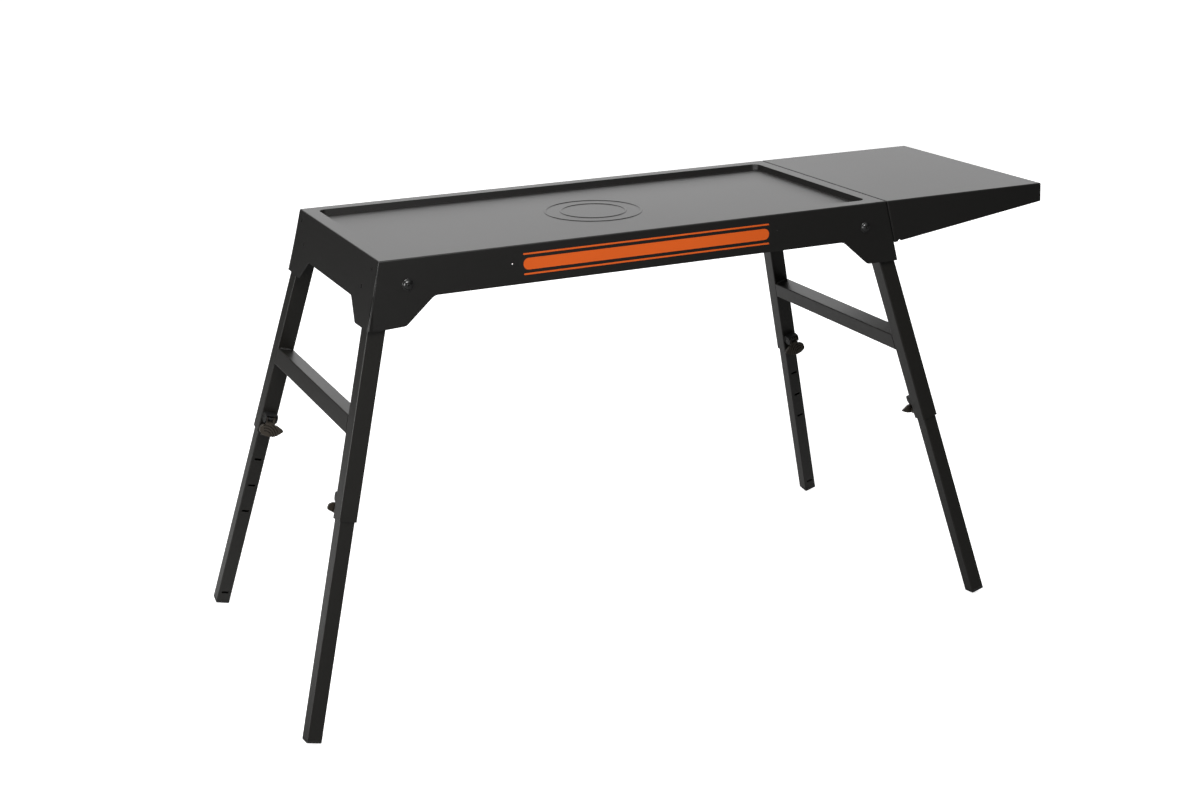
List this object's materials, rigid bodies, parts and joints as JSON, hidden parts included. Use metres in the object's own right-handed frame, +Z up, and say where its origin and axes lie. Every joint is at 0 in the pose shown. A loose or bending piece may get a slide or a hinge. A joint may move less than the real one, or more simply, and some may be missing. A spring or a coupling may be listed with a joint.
{
  "type": "griddle stand",
  "caption": "Folding griddle stand: long sunken tray on splayed telescopic legs with spring latches, and a tapered side shelf that lifts off.",
  "frame": {"origin": "middle of the bounding box at floor level", "axes": "+X along the tray towards the side shelf, +Y to the back, +Z up"},
  "size_m": [1.537, 0.652, 0.7898],
  "materials": {
    "sheet_coat": "satin black powder coat on pressed steel",
    "frame_coat": "satin black powder coat on square tube",
    "latch_coat": "black coated casting with ribs",
    "black_fastener": "glossy black screw head",
    "plated_steel": "zinc plate",
    "spring_steel": "bright spring wire",
    "foot_plastic": "moulded black plastic"
  },
  "bodies": {
    "stand": {"tray": "sheet_coat", "front_stiffener": "sheet_coat", "back_stiffener": "sheet_coat", "front_left_pivot_bolt": "black_fastener", "front_left_pivot_spacer": "plated_steel", "front_left_pivot_nut": "plated_steel", "back_left_pivot_bolt": "black_fastener", "back_left_pivot_spacer": "plated_steel", "back_left_pivot_nut": "plated_steel", "front_right_pivot_bolt": "black_fastener", "front_right_pivot_spacer": "plated_steel", "front_right_pivot_nut": "plated_steel", "back_right_pivot_bolt": "black_fastener", "back_right_pivot_spacer": "plated_steel", "back_right_pivot_nut": "plated_steel"},
    "left_leg_frame": {"left_crossbar": "frame_coat", "front_left_hinge_bracket": "frame_coat", "front_left_outer_tube": "frame_coat", "front_left_latch_housing": "frame_coat", "front_left_latch_pin": "plated_steel", "front_left_latch_spring": "spring_steel", "back_left_hinge_bracket": "frame_coat", "back_left_outer_tube": "frame_coat", "back_left_latch_housing": "frame_coat", "back_left_latch_pin": "plated_steel", "back_left_latch_spring": "spring_steel"},
    "right_leg_frame": {"right_crossbar": "frame_coat", "front_right_hinge_bracket": "frame_coat", "front_right_outer_tube": "frame_coat", "front_right_latch_housing": "frame_coat", "front_right_latch_pin": "plated_steel", "front_right_latch_spring": "spring_steel", "back_right_hinge_bracket": "frame_coat", "back_right_outer_tube": "frame_coat", "back_right_latch_housing": "frame_coat", "back_right_latch_pin": "plated_steel", "back_right_latch_spring": "spring_steel"},
    "front_left_inner_leg": {"front_left_inner_tube": "frame_coat", "front_left_foot_cap": "foot_plastic"},
    "back_left_inner_leg": {"back_left_inner_tube": "frame_coat", "back_left_foot_cap": "foot_plastic"},
    "front_right_inner_leg": {"front_right_inner_tube": "frame_coat", "front_right_foot_cap": "foot_plastic"},
    "back_right_inner_leg": {"back_right_inner_tube": "frame_coat", "back_right_foot_cap": "foot_plastic"},
    "front_left_latch": {"front_left_latch_lever": "latch_coat"},
    "back_left_latch": {"back_left_latch_lever": "latch_coat"},
    "front_right_latch": {"front_right_latch_lever": "latch_coat"},
    "back_right_latch": {"back_right_latch_lever": "latch_coat"},
    "side_shelf": {"side_shelf": "sheet_coat"}
  },
  "joints": [
    {"name": "left_leg_fold", "type": "hinge", "parent": "stand", "child": "left_leg_frame", "pos_m": [-0.52086, 0, 0.74621], "axis": [0, -1, 0], "range_deg": [0, 102]},
    {"name": "right_leg_fold", "type": "hinge", "parent": "stand", "child": "right_leg_frame", "pos_m": [0.36614, 0, 0.74621], "axis": [0, 1, 0], "range_deg": [0, 102]},
    {"name": "front_left_leg_slide", "type": "slide", "parent": "left_leg_frame", "child": "front_left_inner_leg", "axis": [0.256, 0.1478, 0.9553], "range_m": [0, 0.35]},
    {"name": "back_left_leg_slide", "type": "slide", "parent": "left_leg_frame", "child": "back_left_inner_leg", "axis": [0.256, -0.1478, 0.9553], "range_m": [0, 0.35]},
    {"name": "front_right_leg_slide", "type": "slide", "parent": "right_leg_frame", "child": "front_right_inner_leg", "axis": [-0.256, 0.1478, 0.9553], "range_m": [0, 0.35]},
    {"name": "back_right_leg_slide", "type": "slide", "parent": "right_leg_frame", "child": "back_right_inner_leg", "axis": [-0.256, -0.1478, 0.9553], "range_m": [0, 0.35]},
    {"name": "front_left_latch_turn", "type": "hinge", "parent": "left_leg_frame", "child": "front_left_latch", "pos_m": [-0.66611, -0.22652, 0.39889], "axis": [0.9659, 0, -0.2588], "range_deg": [0, 25], "stiffness_Nm_per_rad": 0.15, "springref_deg": -20.05},
    {"name": "back_left_latch_turn", "type": "hinge", "parent": "left_leg_frame", "child": "back_left_latch", "pos_m": [-0.66611, 0.22652, 0.39889], "axis": [-0.9659, 0, 0.2588], "range_deg": [0, 25], "stiffness_Nm_per_rad": 0.15, "springref_deg": -20.05},
    {"name": "front_right_latch_turn", "type": "hinge", "parent": "right_leg_frame", "child": "front_right_latch", "pos_m": [0.51138, -0.22652, 0.39889], "axis": [0.9659, 0, 0.2588], "range_deg": [0, 25], "stiffness_Nm_per_rad": 0.15, "springref_deg": -20.05},
    {"name": "back_right_latch_turn", "type": "hinge", "parent": "right_leg_frame", "child": "back_right_latch", "pos_m": [0.51138, 0.22652, 0.39889], "axis": [-0.9659, 0, -0.2588], "range_deg": [0, 25], "stiffness_Nm_per_rad": 0.15, "springref_deg": -20.05},
    {"name": "shelf_lift_off", "type": "slide", "parent": "stand", "child": "side_shelf", "axis": [0.7071, 0, 0.7071], "range_m": [0, 0.06]}
  ]
}
